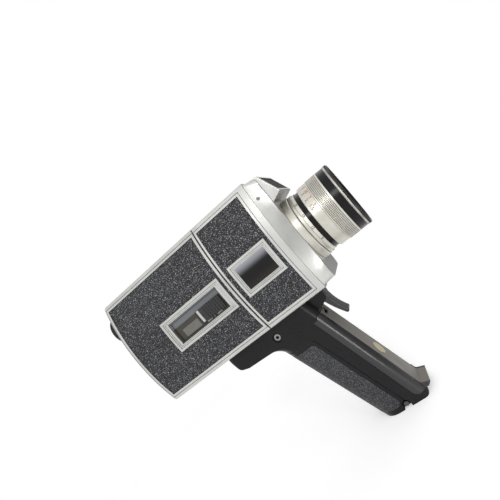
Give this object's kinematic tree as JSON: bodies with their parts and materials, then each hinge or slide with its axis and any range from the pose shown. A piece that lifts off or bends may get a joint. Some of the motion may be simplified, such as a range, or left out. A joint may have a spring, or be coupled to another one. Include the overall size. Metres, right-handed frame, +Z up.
{
  "type": "pistol-grip cine camera",
  "caption": "Pistol-grip cine camera: silver barrelled body with side film door, zoom lens, top finder hood, rubber eyecup, trigger and raked grip holding the cells.",
  "frame": {"origin": "centre of the mouth of the tripod socket, in the flat base of the grip", "axes": "+X forward along the optical axis towards the subject, +Z up with the camera held level, -Y the side with the film door"},
  "size_m": [0.2149, 0.0717, 0.1865],
  "materials": {
    "silver": "satin anodised",
    "lens_silver": "fine satin",
    "leather": "fine pebble grain covering",
    "black_plastic": "satin black moulding",
    "gloss_black": "gloss black",
    "black_glass": "black window glass",
    "clear_glass": "coated lens glass",
    "grey_plate": "satin grey",
    "steel": "plain steel",
    "brass": "dull brass",
    "rubber": "soft black rubber",
    "cream": "cream moulding",
    "tray": "dark grey-brown lacquer",
    "cell_jacket": "plain printed sleeve",
    "inner_black": "matt black",
    "white_dial": "white dial"
  },
  "bodies": {
    "camera": {"chassis": "silver", "front_housing": "silver", "hood_window": "black_glass", "housing_screws": "steel", "front_panel": "silver", "front_leather": "leather", "badge_frame": "silver", "badge_glass": "black_glass", "left_cover": "silver", "left_leather": "leather", "left_plates": "silver", "counter_window": "black_glass", "door_pin": "steel", "lens_flange": "silver", "lens_tube": "inner_black", "index_ring": "gloss_black", "rear_lens": "clear_glass", "film_gate": "steel", "motor": "steel", "finder_tube": "inner_black", "eyepiece_mount": "black_plastic", "eye_lens": "clear_glass", "grip_shell": "black_plastic", "grip_pad": "black_plastic", "grip_leather": "leather", "aa_cells": "cell_jacket", "battery_contacts": "steel", "grip_pins": "steel", "tripod_bush": "brass", "jack_socket": "steel", "strap_pin": "steel"},
    "door": {"film_door": "silver", "door_leather": "leather", "latch_frame": "silver", "latch_tray": "tray", "film_window": "clear_glass", "door_pad": "steel"},
    "latch": {"latch_slider": "gloss_black", "latch_bar": "silver"},
    "zoom_grip": {"zoom_ring": "lens_silver"},
    "zoom_group": {"zoom_carriage": "inner_black", "zoom_glass": "clear_glass"},
    "focus_grip": {"focus_ring": "lens_silver", "focus_screws": "brass"},
    "front_group": {"front_cell": "gloss_black", "front_lens": "clear_glass"},
    "film_claw": {"claw": "steel"},
    "shutter_rotor": {"shutter": "inner_black"},
    "takeup": {"takeup_drive": "inner_black"},
    "counter": {"counter_dial": "white_dial"},
    "exposure": {"exposure_dial": "gloss_black"},
    "power_zoom": {"zoom_rocker": "gloss_black"},
    "speed": {"speed_switch": "gloss_black"},
    "battery_check": {"check_button": "steel"},
    "dioptre": {"diopter_ring": "black_plastic", "eyecup": "rubber"},
    "cover": {"battery_cover": "black_plastic", "cover_plate": "grey_plate"},
    "cover_catch": {"catch_button": "cream"},
    "trigger_lever": {"trigger": "gloss_black"}
  },
  "joints": [
    {"name": "door_hinge", "type": "hinge", "parent": "camera", "child": "door", "pos_m": [-0.1322, -0.022, 0.1425], "axis": [0, 0, -1], "range_deg": [0, 100]},
    {"name": "latch_slide", "type": "slide", "parent": "door", "child": "latch", "axis": [-1, 0, 0], "range_m": [0, 0.004], "stiffness_N_per_m": 250, "springref_m": -0.003},
    {"name": "zoom_turn", "type": "hinge", "parent": "camera", "child": "zoom_grip", "pos_m": [0.0285, 0, 0.1366], "axis": [1, 0, 0], "range_deg": [0, 70]},
    {"name": "zoom_travel", "type": "slide", "parent": "camera", "child": "zoom_group", "axis": [1, 0, 0], "range_m": [0, 0.008]},
    {"name": "focus_turn", "type": "hinge", "parent": "camera", "child": "focus_grip", "pos_m": [0.043, 0, 0.1366], "axis": [1, 0, 0], "range_deg": [0, 170]},
    {"name": "focus_travel", "type": "slide", "parent": "camera", "child": "front_group", "axis": [1, 0, 0], "range_m": [0, 0.0029]},
    {"name": "claw_stroke", "type": "slide", "parent": "camera", "child": "film_claw", "axis": [0, 0, 1], "range_m": [0, 0.0042]},
    {"name": "shutter_turn", "type": "hinge", "parent": "camera", "child": "shutter_rotor", "pos_m": [-0.026, 0.01, 0.1466], "axis": [1, 0, 0], "continuous": true},
    {"name": "takeup_turn", "type": "hinge", "parent": "camera", "child": "takeup", "pos_m": [-0.086, 0.014, 0.1365], "axis": [0, 1, 0], "continuous": true},
    {"name": "counter_turn", "type": "hinge", "parent": "camera", "child": "counter", "pos_m": [-0.066, 0.024, 0.1425], "axis": [0, 1, 0], "range_deg": [0, 300]},
    {"name": "exposure_turn", "type": "hinge", "parent": "camera", "child": "exposure", "pos_m": [-0.016, 0.034, 0.1345], "axis": [0, 1, 0], "range_deg": [0, 180]},
    {"name": "zoom_rocker_tilt", "type": "hinge", "parent": "camera", "child": "power_zoom", "pos_m": [-0.021, 0.027, 0.1695], "axis": [0, 0, 1], "range_deg": [-4, 4], "stiffness_Nm_per_rad": 0.12},
    {"name": "speed_slide", "type": "slide", "parent": "camera", "child": "speed", "axis": [1, 0, 0], "range_m": [0, 0.007]},
    {"name": "check_press", "type": "slide", "parent": "camera", "child": "battery_check", "axis": [0, -1, 0], "range_m": [0, 0.0015], "stiffness_N_per_m": 400, "springref_m": -0.001},
    {"name": "dioptre_turn", "type": "hinge", "parent": "camera", "child": "dioptre", "pos_m": [-0.136, 0.006, 0.1685], "axis": [1, 0, 0], "range_deg": [-40, 40]},
    {"name": "cover_hinge", "type": "hinge", "parent": "camera", "child": "cover", "pos_m": [-0.007, 0, 0.0825], "axis": [0, -1, 0], "range_deg": [0, 26]},
    {"name": "catch_press", "type": "slide", "parent": "cover", "child": "cover_catch", "axis": [-0.9596, 0, -0.2815], "range_m": [0, 0.0012], "stiffness_N_per_m": 500, "springref_m": -0.001},
    {"name": "trigger_pull", "type": "hinge", "parent": "camera", "child": "trigger_lever", "pos_m": [0.0016, 0, 0.0935], "axis": [0, 1, 0], "range_deg": [0, 8], "stiffness_Nm_per_rad": 0.5, "springref_deg": -4.58}
  ],
  "couplings": [
    {"joint": "zoom_travel", "follows": "zoom_turn", "m_per_rad": 0.0065},
    {"joint": "focus_travel", "follows": "focus_turn", "m_per_rad": 0.00097},
    {"joint": "takeup_turn", "follows": "shutter_turn", "ratio": 0.0625}
  ]
}
